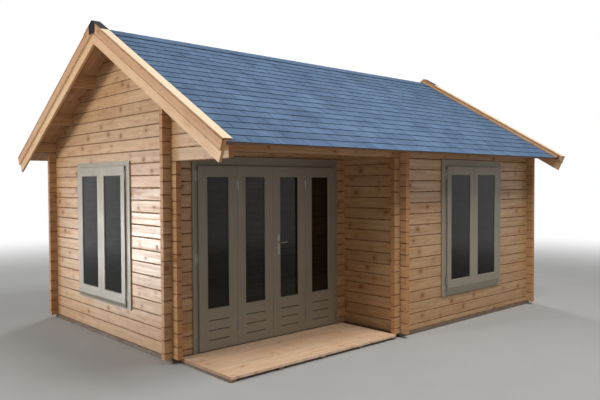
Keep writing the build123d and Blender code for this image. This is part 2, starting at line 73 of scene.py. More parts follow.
# Shingle tabs
TAB_WIDTH = 0.333
TAB_GAP = 0.005
TAB_THICK = 0.0072
TAB_LEAST = 0.01        # a narrower tab at the verge is left out
TAB_TUCK = 0.004        # how far a tab runs under the next row
TAB_EDGE = 0.001        # bevel of the lower edge: its height and its reach
TAB_EDGE_REACH = 0.0015
TAB_CLEAR = 0.0002      # a tab's upper end over the roof boards
ROW_SHIFT = 0.02        # most that a row is out of step
TAB_DROP = 0.004        # most that a tab hangs low
TAB_SINK = 0.0012       # most that a tab lies deep
BED_INSET = 0.002
BED_CLEAR = 0.0004
RIDGE_TAB_THICK = 0.0022
RIDGE_TAB_LIFT = 0.0018
RIDGE_TAB_LAP = 0.012

# Roof boards and deck boards
ROOF_BOARD_WIDTH = 0.096
ROOF_BOARD_BEVEL = 0.004
ROOF_BOARD_GAP = 0.0006
FLOOR_BOARD = 0.12
DECK_BOARD = 0.144
DECK_GAP = 0.005
DECK_EDGE = 0.003
DECK_LEAST = 0.01       # a narrower deck board is left out
DECK_RIBS = 7
DECK_MARGIN = 0.01      # flat strip at each side of the ribs
DECK_GROOVE_SHADES = 8        # painted shade lines in each deck board's grooves
GROOVE_DEPTH = 0.0022
GROOVE_HALF_TOP = 0.0025
GROOVE_HALF_FOOT = 0.0012

# Screws: radius and height over the wood, from the shank to the recess
SCREW = ((0.0038, -0.002), (0.0038, 0.0001), (0.0030, 0.0006), (0.0014, 0.0006), (0.0010, -0.0004))
SCREW_SIDES = 10
SCREW_SUNK = 0.0007
DECK_SCREW_INSET = 0.032
VERGE_SCREW_HEIGHTS = (-0.045, -0.1)
VERGE_SCREW_RUNS = (0.16, 2.35, 2.72)   # near the ridge, at the eave wall and at the low end
RIDGE_PURLIN_HALF = 0.1                 # the ridge purlin gets no screws of its own

# Door handle: profiles are radius and height over the plate
PLATE_CORNER = 0.012
PLATE_EDGE = 0.002
PLATE_SCREW_INSET = 0.016
CORNER_STEPS = 4
TURNED_SIDES = 16
COLLAR = ((0.0130, 0.0), (0.0130, 0.006), (0.0115, 0.008), (0.0080, 0.009), (0.0075, 0.020))
LOCK = ((0.0088, 0.0), (0.0088, 0.0035), (0.0075, 0.0045), (0.0030, 0.0045), (0.0026, 0.0030))
LOCK_UP = 0.055
COLLAR_OUT = 0.001
LOCK_OUT = 0.0005
LEVER_WIDTH = 0.015
LEVER_THICK = 0.0135
LEVER_DOME = ((0.24, 0.45), (0.12, 0.85), (0.0, 1.0))   # reach past the end, and size there

# Door vents and glazing: profiles are inset from the pane's edge and distance out of the wall
MESH_THICK = 0.003
MESH_BULGE = 1.6
SEAL = ((0.0, 0.0), (0.0, 0.002), (0.003, 0.002), (0.004, 0.0))
BEAD = ((0.0, 0.0), (0.012, 0.0), (0.0135, -0.002), (0.012, -0.009), (0.004, -0.014), (0.0, -0.014))

# Wood: knots, and tones as shares of the dark colour's red, green and blue
KNOT_STRETCH = 0.50     # there is at most one knot in this length of a board
KNOT_NONE = 0.45        # share of the stretches without a knot
KNOT_LEAST = 0.006      # radius
KNOT_MOST = 0.024
KNOT_HALO = 0.055
BOARD_TINT = 0.16       # range of the boards' brightness
SMEAR = (0.84, 0.66, 0.50)
WARM = (1.06, 0.86, 0.66)
# colour of the dark lines at joints and grooves: part dirt, part painted shade
JOINT_DIRT_AND_SHADE = (0.34, 0.24, 0.17)
KNOT_RIM = (0.46, 0.32, 0.22)
KNOT_CORE = (0.74, 0.54, 0.40)
END_PALE = (1.00, 0.88, 0.78)
END_DARK = (0.72, 0.58, 0.46)

# Stage and light
FLOOR_REACH = 40.0
FLOOR_SUNK = 0.0005
FLOOR_FADE = (6.0, 15.0)    # the floor turns white between these distances
WORLD_LIGHT = 0.20
WORLD_COLOUR = (0.92, 0.96, 1.0, 1)
SHEEN_SPREAD = math.radians(42)
LAMPS = (
    # name, place, target, size, power, colour
    ("front", (-0.4, -5.8, 9.6), (0.3, -1.6, 1.6), (3.6, 3.6), 700.0, (1.0, 0.985, 0.96)),
    ("left", (-14.0, 2.4, 6.0), (-2.7, 0.0, 1.5), (4.0, 4.0), 840.0, (1.0, 0.985, 0.95)),
    ("back", (7.5, 9.5, 7.0), (1.0, 1.0, 1.5), (4.0, 4.0), 700.0, (1.0, 0.99, 0.98)),
    ("room", (0.9, 0.4, 2.4), (0.9, 0.4, 0.0), (2.0, 2.0), 7.0, (1.0, 0.97, 0.92)),
    ("sheen", (-7.2, 5.3, 0.72), (-2.7, -0.95, 0.8), (2.2, 1.3), 28.0, (0.96, 0.99, 1.0)),
)

# The photograph's viewing place and directions
CAMERA_PLACE = (-6.04485, -6.70286, 1.84789)
CAMERA_YAW = 0.736287
CAMERA_PITCH = -0.027454
CAMERA_ROLL = -0.004664
CAMERA_LENS = 37.543
CAMERA_SENSOR = 36.0
CAMERA_FAR = 200.0

SMOOTH_ANGLE = math.radians(35)     # turned pieces keep edges sharper than this
RANDOM_SEED = 11

cos_pitch = math.cos(PITCH)
sin_pitch = math.sin(PITCH)
roof_low, roof_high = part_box("roof_boards_front")
boards_left, boards_right = roof_low.x, roof_high.x
ridge = roof_high.z - ROOF_BOARD / cos_pitch
boards_slope = (ridge - roof_low.z) / sin_pitch
soffit_up = ridge * cos_pitch       # the soffit plane's place along its own normal
shingle_face = ROOF_BOARD + SHINGLE_LIP
eave = boards_slope + SHINGLE_DRIP
shingle_rows = int((eave - CAP_REACH) / SHINGLE_ROW) + 1
roof_board_count = math.ceil((boards_right - boards_left) / ROOF_BOARD_WIDTH)
roof_board_step = (boards_right - boards_left) / roof_board_count
deck_low, deck_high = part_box("deck_boards")


# Materials


def screen(red, green, blue):
    """A screen colour from 0 to 255 as the linear colour that a shader takes."""
    share = [value / 255 for value in (red, green, blue)]
    return (*[v / 12.92 if v <= 0.04045 else ((v + 0.055) / 1.055) ** 2.4 for v in share], 1)


def toned(colour, *shares):
    """A colour times one share, or times a share for each channel."""
    if len(shares) == 1:
        shares = shares * 3
    return (*[channel * share for channel, share in zip(colour, shares)], 1)


PINE = screen(206, 169, 127)
PINE_DARK = screen(168, 126, 84)
SPRUCE = screen(236, 200, 160)
SPRUCE_DARK = screen(210, 166, 120)


class Graph:
    """Short calls that build one material's nodes."""

    def __init__(self, name):
        self.material = bpy.data.materials.new(name)
        self.material.use_nodes = True
        self.tree = self.material.node_tree
        self.shader = self.tree.nodes["Principled BSDF"]
        coordinates = self.add("TexCoord").outputs
        self.place = coordinates["Object"]
        self.normal = coordinates["Normal"]

    def add(self, kind, **settings):
        node = self.tree.nodes.new("ShaderNode" + kind)
        for key, value in settings.items():
            setattr(node, key, value)
        return node

    def feed(self, socket, value):
        if isinstance(value, bpy.types.NodeSocket):
            self.tree.links.new(value, socket)
        else:
            socket.default_value = value

    def math(self, operation, *values):
        node = self.add("Math", operation=operation)
        for socket, value in zip(node.inputs, values):
            self.feed(socket, value)
        return node.outputs[0]

    def sum(self, first, *others):
        for other in others:
            first = self.math("ADD", first, other)
        return first

    def less(self, first, second):
        return self.math("SUBTRACT", first, second)

    def times(self, first, second):
        return self.math("MULTIPLY", first, second)

    def size(self, value):
        return self.math("ABSOLUTE", value)

    def split(self, vector):
        node = self.add("SeparateXYZ")
        self.feed(node.inputs[0], vector)
        return node.outputs[:3]

    def join(self, x, y, z):
        node = self.add("CombineXYZ")
        for socket, value in zip(node.inputs, (x, y, z)):
            self.feed(socket, value)
        return node.outputs[0]

    def noise(self, vector, scale=1.0, detail=2.0, roughness=0.5, distortion=0.0):
        node = self.add("TexNoise")
        self.feed(node.inputs["Vector"], vector)
        sizes = {"Scale": scale, "Detail": detail, "Roughness": roughness, "Distortion": distortion}
        for key, value in sizes.items():
            node.inputs[key].default_value = value
        return node.outputs[0]

    def stretched(self, places, scales, detail, roughness):
        """Noise with a scale of its own in each direction."""
        scaled = [self.times(place, scale) for place, scale in zip(places, scales)]
        return self.noise(self.join(*scaled), 1.0, detail, roughness)

    def random(self, vector):
        """Three random numbers for each cell."""
        node = self.add("TexWhiteNoise", noise_dimensions="3D")
        self.feed(node.inputs["Vector"], vector)
        return self.split(node.outputs["Color"])

    def ramp(self, value, low, high, to_low=0.0, to_high=1.0):
        """A smooth step from low to high."""
        node = self.add("MapRange", interpolation_type="SMOOTHSTEP")
        for socket, number in zip(node.inputs, (value, low, high, to_low, to_high)):
            self.feed(socket, number)
        return node.outputs[0]

    def mix(self, factor, first, second, blend="MIX"):
        node = self.add("Mix", data_type="RGBA", blend_type=blend)
        self.feed(node.inputs["Factor"], factor)
        self.feed(node.inputs[6], first)
        self.feed(node.inputs[7], second)
        return node.outputs[2]

    def bump(self, height, strength, distance):
        node = self.add("Bump")
        node.inputs["Strength"].default_value = strength
        node.inputs["Distance"].default_value = distance
        self.feed(node.inputs["Height"], height)
        self.feed(self.shader.inputs["Normal"], node.outputs[0])

    def set(self, **values):
        """Feed the shader's sockets; names are written with underscores."""
        for key, value in values.items():
            self.feed(self.shader.inputs[key.replace("_", " ")], value)
        return self.material


def run_axes(g, along):
    """Sockets for the place along the grain and in two directions across it, the upward one last.

    The fourth socket says how far a face looks along the grain.
    """
    x, y, z = g.split(g.place)
    nx, ny, nz = g.split(g.normal)
    if along == "x":
        return x, y, z, g.size(nx)
    if along == "y":
        return y, x, z, g.size(ny)
    if along == "z":
        return z, y, x, g.size(nz)
    aside = g.size(y)
    run = g.less(g.times(aside, cos_pitch), g.times(z, sin_pitch))
    up = g.sum(g.times(aside, sin_pitch), g.times(z, cos_pitch))
    slant = g.times(g.times(g.math("SIGN", y), ny), cos_pitch)
    return run, x, up, g.size(g.less(slant, g.times(nz, sin_pitch)))


def wood(
    name,
    along,
    pale,
    dark,
    board,
    foot=0.0,
    flat=False,
    knots=1.0,
    seam=0.0,
    rough=0.27,
    ribs=0.0,
    top=None,
    ends=1.0,
):
    """Planed softwood: growth rings, fibres, knots and a tint of its own for each board.

    board is the boards' width and foot the place where the first one starts. Boards are counted
    up the wall, or across the floor or roof where flat is set. knots makes the knots larger or
    smaller. seam is the width of the dark line at the joints between boards, part dirt and part
    painted shade, ribs the ribs' width with a painted shade line between ribs, top the painted
    highlight colour of faces that look up, and ends makes the end grain brighter or darker, the
    logs' brighter ends being painted light.
    """
    g = Graph(name)
    run, side, up, looks_along = run_axes(g, along)
    across, depth = (side, up) if flat else (up, side)
    row = g.math("DIVIDE", g.less(across, foot), board)
    row_number = g.math("FLOOR", row)
    wall = g.math("FLOOR", g.sum(depth, 0.5))
    first, second, third = g.random(g.join(row_number, wall, 3.0))

    # Knots: at most one in each stretch of a board
    stretch = g.sum(g.math("DIVIDE", run, KNOT_STRETCH), g.times(first, 17.0))
    spot = g.join(g.math("FLOOR", stretch), row_number, g.sum(wall, 0.5))
    spot_run, spot_up, spot_size = g.random(spot)
    off_run = g.less(g.math("FRACT", stretch), g.sum(g.times(spot_run, 0.8), 0.1))
    off_up = g.less(g.math("FRACT", row), g.sum(g.times(spot_up, 0.5), 0.25))
    away_run = g.times(off_run, KNOT_STRETCH * 0.8)
    away_up = g.times(off_up, board)
    away = g.math("SQRT", g.sum(g.times(away_run, away_run), g.times(away_up, away_up)))
    wobble = g.noise(g.place, 45.0, 2.0)
    away = g.sum(away, g.times(g.less(wobble, 0.5), 0.012))
    size = g.ramp(spot_size, KNOT_NONE, 1.0, KNOT_LEAST, KNOT_MOST * knots)
    beyond = g.less(away, size)
    there = g.ramp(spot_size, KNOT_NONE, KNOT_NONE + 0.05)
    knot = g.times(g.ramp(beyond, -0.006, 0.006, 1.0, 0.0), there)
    halo = g.times(g.ramp(beyond, 0.0, KNOT_HALO, 1.0, 0.0), there)

    # Growth rings that part round the knots, and finer marks along the grain
    ring_place = g.join(
        g.sum(g.times(run, 0.42), g.times(first, 40.0)),
        g.sum(g.times(depth, 5.0), g.times(second, 20.0)),
        g.sum(g.times(across, 6.0), g.times(third, 20.0), g.times(g.times(halo, away_up), -3.0)),
    )
    figure = g.noise(ring_place, 1.0, 1.5, 0.4, 0.2)
    late = g.ramp(g.math("PINGPONG", g.times(figure, 26.0), 1.0), 0.45, 1.0)
    places = (run, depth, across)
    fibre = g.stretched(places, (7.0, 220.0, 220.0), 3.0, 0.6)
    streak_run = g.sum(g.times(run, 0.8), g.times(second, 30.0))
    streak = g.stretched((streak_run, depth, across), (1.0, 12.0, 30.0), 3.0, 0.55)
    cloud = g.stretched(places, (1.6, 3.0, 4.0), 4.0, 0.6)
    stain_run = g.sum(g.times(run, 3.2), g.times(third, 50.0))
    stain = g.stretched((stain_run, depth, across), (1.0, 6.0, 14.0), 5.0, 0.7)
    stain = g.ramp(stain, 0.50, 0.72)
    fleck = g.stretched(places, (40.0, 90.0, 90.0), 2.0, 0.6)

    # Colour, from the grain up to the knots
    warm = toned(dark, *WARM)
    # joint lines: part dirt, part painted shade
    joint = toned(dark, *JOINT_DIRT_AND_SHADE)
    colour = g.mix(g.sum(g.times(late, 0.22), g.ramp(streak, 0.30, 0.74, 0.0, 0.55)), pale, dark)
    reddened = g.sum(g.ramp(cloud, 0.42, 0.75, 0.0, 0.40), g.times(third, 0.22))
    colour = g.mix(reddened, colour, warm)
    board_tint = g.times(g.less(first, 0.5), BOARD_TINT)
    shade = g.sum(board_tint, g.times(fibre, 0.16), g.times(fleck, 0.16), 0.84)
    colour = g.mix(1.0, colour, g.join(shade, shade, shade), "MULTIPLY")
    smeared = g.sum(g.times(halo, 0.40), g.times(stain, 0.50))
    colour = g.mix(smeared, colour, toned(dark, *SMEAR))
    core = g.ramp(beyond, -0.014, -0.004, 1.0, 0.0)
    knot_colour = g.mix(core, toned(dark, *KNOT_RIM), toned(dark, *KNOT_CORE))
    colour = g.mix(g.times(knot, 0.72), colour, knot_colour)

    # End grain: rings round the pith, a little darker and redder, scaled by ends; the logs'
    # brighter ends are painted light.
    end = g.ramp(looks_along, 0.6, 0.8)
    pith = g.math("SQRT", g.sum(g.times(away_up, away_up), g.times(depth, depth)))
    turn = g.math("PINGPONG", g.sum(g.times(pith, 240.0), g.times(wobble, 3.0)), 1.0)
    end_pale = toned(toned(dark, *END_PALE), ends)
    end_dark = toned(toned(dark, *END_DARK), ends)
    colour = g.mix(end, colour, g.mix(g.times(turn, 0.6), end_pale, end_dark))
    dull = g.math("MAXIMUM", g.times(end, 0.6), knot)
    # A dark line at each joint between boards: part dirt, part painted shade in the groove
    if seam:
        near = g.times(g.less(0.5, g.size(g.less(g.math("FRACT", row), 0.5))), board)
        ragged = g.noise(g.join(g.times(run, 9.0), row_number, wall), 1.0, 4.0, 0.65)
        near = g.sum(near, g.times(g.less(ragged, 0.5), seam * 1.6))
        deep = g.ramp(ragged, 0.34, 0.6, 0.92, 0.6)
        seam_dirt_and_shade = g.ramp(near, seam * 0.3, seam, 1.0, 0.0)
        colour = g.mix(g.times(seam_dirt_and_shade, deep), colour, joint)
        dull = g.math("MAXIMUM", dull, seam_dirt_and_shade)
    # Faces that look up get the top colour: a painted highlight where light falls from above
    if top:
        painted_top_highlight = g.ramp(g.size(g.split(g.normal)[2]), 0.6, 0.8)
        colour = g.mix(g.times(painted_top_highlight, 0.8), colour, top)
    # Painted shade lines along the grooves between the deck boards' ribs
    if ribs:
        groove_shade_phase = g.math("FRACT", g.math("DIVIDE", g.less(across, foot), ribs))
        groove_shade_phase = g.size(g.less(groove_shade_phase, 0.5))
        colour = g.mix(g.ramp(groove_shade_phase, 0.28, 0.46, 0.0, 0.75), colour, g.mix(0.3, warm, joint))
    g.bump(g.sum(g.times(late, 0.35), g.times(fibre, 0.65), g.times(knot, 0.5)), 0.35, 0.0012)
    streaky = g.ramp(streak, 0.38, 0.66, 0.0, 0.16)
    gloss = g.sum(rough, g.times(fibre, 0.16), streaky, g.times(stain, 0.18))
    roughness = g.math("MINIMUM", g.sum(gloss, g.times(dull, 0.4)), 0.95)
    return g.set(Base_Color=colour, Roughness=roughness)


def paint(name, colour, along):
    """Satin paint brushed on wood, with the grain just showing."""
    g = Graph(name)
    run, side, up, _ = run_axes(g, along)
    brush = g.stretched((run, side, up), (5.0, 150.0, 150.0), 3.0, 0.6)
    cloud = g.noise(g.place, 3.5, 3.0)
    worn = g.sum(g.ramp(cloud, 0.35, 0.7, 0.0, 0.30), g.ramp(brush, 0.42, 0.75, 0.0, 0.35))
    g.bump(brush, 0.22, 0.0008)
    return g.set(
        Base_Color=g.mix(worn, colour, toned(colour, 0.78)),
        Roughness=g.sum(0.44, g.times(cloud, 0.16)),
    )


def mineral(name, pale, dark, cut, tint=0.14):
    """Felt covered with mineral granules, with bare bitumen at its cut edges."""
    g = Graph(name)
    _, _, _, looks_down = run_axes(g, "slope")
    island = g.add("NewGeometry").outputs["Random Per Island"]
    one, two, _ = g.random(g.join(g.times(island, 61.0), 5.0, 7.0))
    x, y, z = g.split(g.place)
    grains = g.noise(g.place, 620.0, 1.0, 0.5)
    patches = g.noise(g.join(g.times(x, 1.3), y, z), 3.0, 4.0, 0.6)
    wash = g.stretched((x, y, z), (3.0, 0.9, 0.9), 3.0, 0.5)
    darkened = g.sum(g.ramp(patches, 0.36, 0.66, 0.0, 0.6), g.ramp(wash, 0.35, 0.7, 0.0, 0.4))
    colour = g.mix(darkened, pale, dark)
    colour = g.mix(g.times(two, 0.25), colour, dark)
    shade = g.sum(g.times(g.less(one, 0.5), tint), g.times(grains, 0.5), 0.75)
    colour = g.mix(1.0, colour, g.join(shade, shade, shade), "MULTIPLY")
    looks_aside = g.size(g.split(g.normal)[0])
    edge = g.sum(g.math("MAXIMUM", looks_down, looks_aside), g.times(grains, 0.2))
    colour = g.mix(g.ramp(edge, 0.6, 0.8), colour, cut)
    g.bump(grains, 0.6, 0.0015)
    return g.set(
        Base_Color=colour,
        Roughness=g.sum(0.78, g.times(grains, 0.2)),
        Specular_IOR_Level=0.3,
    )


def metal(name, colour, rough):
    """Brushed metal."""
    g = Graph(name)
    brush = g.stretched(g.split(g.place), (900.0, 900.0, 60.0), 2.0, 0.5)
    g.bump(brush, 0.1, 0.0003)
    return g.set(
        Base_Color=g.mix(g.ramp(brush, 0.3, 0.7, 0.0, 0.6), colour, toned(colour, 0.7)),
        Roughness=g.sum(rough, g.times(brush, 0.15)),
        Metallic=1.0,
    )


def rubber(name, colour):
    """Dark sealing rubber."""
    g = Graph(name)
    grain = g.noise(g.place, 400.0, 2.0)
    g.bump(grain, 0.2, 0.0004)
    return g.set(
        Base_Color=g.mix(grain, colour, toned(colour, 1.8)),
        Roughness=g.sum(0.5, g.times(grain, 0.2)),
    )


def glass(name, clean, dusty):
    """Grey-tinted glass with a faint film of dust; the dark grey tint is painted shade for the dim
    room behind it.
    """
    g = Graph(name)
    film = g.noise(g.place, 7.0, 4.0, 0.6)
    return g.set(
        Base_Color=g.mix(g.ramp(film, 0.3, 0.8), clean, dusty),
        Roughness=g.ramp(film, 0.4, 0.9, 0.01, 0.05),
        Transmission_Weight=1.0,
        IOR=1.27,
    )


# The logs' ends above 1 paint their end faces brighter: painted light
logs_x = wood(
    "logs_along_x",
    "x",
    PINE,
    PINE_DARK,
    COURSE,
    LOGS_FOOT + COURSE / 2,
    seam=0.0095,
    ends=1.3,
)
logs_y = wood("logs_along_y", "y", PINE, PINE_DARK, COURSE, LOGS_FOOT, seam=0.0095, ends=1.45)
timber = wood("purlin_timber", "x", PINE, PINE_DARK, 0.5, 0.1)
boards = wood(
    "roof_boarding",
    "slope",
    screen(208, 168, 130),
    screen(178, 134, 94),
    roof_board_step,
    boards_left,
    flat=True,
    ends=0.55,
)
verge = wood(
    "bargeboard_spruce",
    "slope",
    SPRUCE,
    SPRUCE_DARK,
    VERGE_DEPTH,
    soffit_up + VERGE_FOOT,
    knots=0.8,
)
verge_top = wood(
    "verge_cap_spruce",
    "slope",
    screen(214, 168, 124),
    screen(184, 136, 92),
    COVER_DEPTH,
    soffit_up + COVER_FOOT,
    knots=0.7,
    # these seam lines are a painted shadow under the cap and along the cover board's lower edge
    seam=0.009,
    # a painted highlight on faces that look up
    top=screen(250, 232, 198),
)
decking = wood(
    "deck_boarding",
    "x",
    screen(234, 206, 178),
    screen(212, 180, 149),
    DECK_BOARD + DECK_GAP,
    deck_high.y,
    flat=True,
    knots=0.5,
    rough=0.34,
    seam=0.006,
    ribs=(DECK_BOARD + DECK_GAP) / DECK_GROOVE_SHADES,
    ends=0.6,
)
flooring = wood(
    "floor_boarding",
    "x",
    screen(206, 168, 124),
    screen(170, 126, 84),
    FLOOR_BOARD,
    flat=True,
    seam=0.002,
)
footing = wood("impregnated_beams", "x", screen(132, 118, 102), screen(100, 84, 68), 0.5, -0.2)
taupe = paint("taupe_paint", screen(151, 142, 125), "z")
slate = mineral(
    "slate_blue_shingle",
    screen(98, 124, 154),
    screen(74, 97, 125),
    screen(24, 28, 34),
)
felt = mineral("black_felt", screen(52, 49, 47), screen(34, 31, 30), screen(22, 21, 20), 0.10)
# the dark grey tint stands in for the dim room: painted shade
panes = glass("window_glass", screen(100, 108, 110), screen(84, 92, 95))
steel = metal("satin_steel", screen(150, 147, 139), 0.40)
zinc = metal("screw_zinc", screen(160, 156, 146), 0.38)
seal = rubber("glazing_rubber", screen(28, 28, 28))

SHOWN = {
    logs_y: (
        "gable_left_low",
        "gable_left_near",
        "gable_left_far",
        "gable_left_top",
        "porch_side_wall",
        "gable_right",
    ),
    logs_x: (
        "front_wall_low",
        "front_wall_near",
        "front_wall_far",
        "front_wall_top",
        "door_wall_left",
        "door_wall_right",
        "door_wall_top",
        "back_wall",
        "eave_logs",
    ),
    timber: ("purlins",),
    verge: ("bargeboards_left", "bargeboards_right"),
    verge_top: ("verge_caps_left", "verge_caps_right"),
    flooring: ("floor_boards_back", "floor_boards_front"),
    footing: ("foundation_beams_long", "foundation_beams_cross", "floor_joists", "deck_joists"),
    felt: ("ridge_end_caps",),
    taupe: (
        "front_window_frame",
        "front_window_sashes",
        "gable_window_frame",
        "gable_window_sashes",
        "door_frame",
        "door_leaf_1",
        "door_leaf_2",
        "door_leaf_3",
        "door_leaf_4",
    ),
    panes: ("front_window_glass", "gable_window_glass", "door_glass"),
    steel: ("window_hinges", "door_hinges", "door_handle"),
}
for material, names in SHOWN.items():
    for name in names:
        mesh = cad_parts[name].data
        mesh.materials.clear()
        mesh.materials.append(material)


# Pieces


class Solids:
    """Collects closed solids and makes one piece of them."""

    def __init__(self):
        self.points = []
        self.faces = []

    def loft(self, rings, closed=False):
        """A solid through rings of points; closed joins the last ring to the first."""
        start = len(self.points)
        count = len(rings[0])
        for ring in rings:
            self.points.extend(ring)
        for n in range(len(rings) - (0 if closed else 1)):
            low = start + n * count
            high = start + (n + 1) % len(rings) * count
            for k in range(count):
                after = (k + 1) % count
                self.faces.append((low + k, low + after, high + after, high + k))
        if not closed:
            self.faces.append(tuple(range(start + count - 1, start - 1, -1)))
            last = start + (len(rings) - 1) * count
            self.faces.append(tuple(range(last, last + count)))

    def lathe(self, centre, axis, profile, sides):
        """A turned solid: profile is a list of radius and height along the axis."""
        turn = Vector((0, 0, 1)).rotation_difference(Vector(axis)).to_matrix()
        rings = []
        for radius, height in profile:
            ring = []
            for n in range(sides):
                angle = 2 * math.pi * n / sides
                point = Vector((radius * math.cos(angle), radius * math.sin(angle), height))
                ring.append(Vector(centre) + turn @ point)
            rings.append(ring)
        self.loft(rings)

    def bar(self, path, width, thick, dome, sides=12):
        """A rounded bar along a path of points, with domed ends."""
        points = [Vector(point) for point in path]
        last = len(points) - 1
        rings = []
        for n, point in enumerate(points):
            ahead = (points[min(n + 1, last)] - points[max(n - 1, 0)]).normalized()
            side = ahead.cross(Vector((0, 0, 1))).normalized()
            up = side.cross(ahead)
            steps = [(0.0, 1.0)]
            if n == 0:
                steps = [(-reach * thick, share) for reach, share in dome]
            if n == last:
                steps = [(reach * thick, share) for reach, share in reversed(dome)]
            for out, share in steps:
                centre = point + ahead * out
                ring = []
                for step in range(sides):
                    angle = 2 * math.pi * step / sides
                    aside = side * (thick / 2 * share * math.cos(angle))
                    above = up * (width / 2 * share * math.sin(angle))
                    ring.append(centre + aside + above)
                rings.append(ring)
        self.loft(rings)

    def picture_frame(self, across, up, plane, profile):
        """A mitred frame round a pane; plane turns across, up and out into a point."""
        corners = (
            (across[0], up[0], 1, 1),
            (across[1], up[0], -1, 1),
            (across[1], up[1], -1, -1),
            (across[0], up[1], 1, -1),
        )
        rings = []
        for a, b, da, db in corners:
            rings.append([plane(a + da * inset, b + db * inset, out) for inset, out in profile])
        self.loft(rings, closed=True)

    def piece(self, name, material, replaces=(), smooth=False):
        mesh = bpy.data.meshes.new(name)
        mesh.from_pydata(self.points, [], self.faces)
        work = bmesh.new()
        work.from_mesh(mesh)
        bmesh.ops.recalc_face_normals(work, faces=work.faces)
        work.to_mesh(mesh)
        work.free()
        mesh.materials.append(material)
        if smooth:
            mesh.shade_smooth()
            mesh.set_sharp_from_angle(angle=SMOOTH_ANGLE)
        made = bpy.data.objects.new(name, mesh)
        bpy.context.scene.collection.objects.link(made)
        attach(made, "root")
        if replaces:
            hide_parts(*replaces)


def slope(x, down, height, side):
    """A point on a roof slope: down from the ridge, and height over the soffit plane."""
    y = side * (down * cos_pitch + height * sin_pitch)
    return Vector((x, y, ridge - down * sin_pitch + height * cos_pitch))


def ridge_down(height):
    """How far down the slope the ridge's upright plane is at a height over the soffit plane."""
    return -height * math.tan(PITCH)


def pairs(node, axis):
    """Ranges of a node's separate bodies along one axis."""
    values = sorted({round(vertex.co[axis], 4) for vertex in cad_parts[node].data.vertices})
    return list(zip(values[::2], values[1::2]))


chance = random.Random(RANDOM_SEED)

# Shingles: a tapered bed under each row, and the row's tabs on it
for side, name in ((-1, "front"), (1, "back")):
    tabs = Solids()
    beds = Solids()
    for row in range(shingle_rows):
        low = eave - row * SHINGLE_ROW
        high = low - SHINGLE_ROW
        bed = (
            (low - BED_INSET, ROOF_BOARD),
            (low - BED_INSET, shingle_face - TAB_THICK - BED_CLEAR),
            (high, ROOF_BOARD),
        )
        rings = [[slope(x, *corner, side) for corner in bed] for x in (boards_left, boards_right)]
        beds.loft(rings)
        shift = TAB_WIDTH / 2 * (row % 2) + chance.uniform(-ROW_SHIFT, ROW_SHIFT)
        start = boards_left - TAB_WIDTH + shift
        while start < boards_right:
            left = max(start + TAB_GAP / 2, boards_left)
            right = min(start + TAB_WIDTH - TAB_GAP / 2, boards_right)
            start += TAB_WIDTH
            if right - left < TAB_LEAST:
                continue
            drop = chance.uniform(0.0, TAB_DROP)
            sink = chance.uniform(0.0, TAB_SINK)
            top = shingle_face - sink
            outline = (
                (low - drop, top - TAB_THICK),
                (low - drop, top - TAB_EDGE),
                (low - drop - TAB_EDGE_REACH, top),
                (high - TAB_TUCK, shingle_face - TAB_THICK),
                (high - TAB_TUCK, ROOF_BOARD + TAB_CLEAR),
            )
            tabs.loft([[slope(x, *corner, side) for corner in outline] for x in (left, right)])
    tabs.piece(f"shingle_tabs_{name}", slate, (f"shingles_{name}",))
    beds.piece(f"shingle_beds_{name}", felt)

# Ridge tabs, each one's right end lapping over the next
cap_left, cap_right = (corner.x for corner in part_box("ridge_cap"))
cap_count = math.ceil((cap_right - cap_left) / SHINGLE_ROW)
cap_step = (cap_right - cap_left) / cap_count
ridge_tabs = Solids()
for n in range(cap_count):
    near = cap_left + n * cap_step
    far = min(near + cap_step + RIDGE_TAB_LAP, cap_right)
    far_lift = RIDGE_TAB_LIFT if far < cap_right else 0.0
    rings = []
    for x, lift in ((near, 0.0), (far, far_lift)):
        under = shingle_face + lift
        over = under + RIDGE_TAB_THICK
        arm = [(CAP_REACH, under), (CAP_REACH, over)]
        apex_over = slope(x, ridge_down(over), over, 1)
        apex_under = slope(x, ridge_down(under), under, 1)
        front = [slope(x, *corner, -1) for corner in arm]
        back = [slope(x, *corner, 1) for corner in reversed(arm)]
        rings.append([*front, apex_over, *back, apex_under])
    ridge_tabs.loft(rings)
ridge_tabs.piece("ridge_tabs", slate, ("ridge_cap",))

# Roof boards with a V joint on their underside
for side, name in ((-1, "front"), (1, "back")):
    boarding = Solids()
    for n in range(roof_board_count):
        left = boards_left + n * roof_board_step + ROOF_BOARD_GAP / 2
        right = left + roof_board_step - ROOF_BOARD_GAP
        section = (
            (left + ROOF_BOARD_BEVEL, 0.0),
            (right - ROOF_BOARD_BEVEL, 0.0),
            (right, ROOF_BOARD_BEVEL),
            (right, ROOF_BOARD),
            (left, ROOF_BOARD),
            (left, ROOF_BOARD_BEVEL),
        )
        at_ridge = [slope(x, ridge_down(height), height, side) for x, height in section]
        at_eave = [slope(x, boards_slope, height, side) for x, height in section]
        boarding.loft([at_ridge, at_eave])
    boarding.piece(f"roof_boarding_{name}", boards, (f"roof_boards_{name}",))

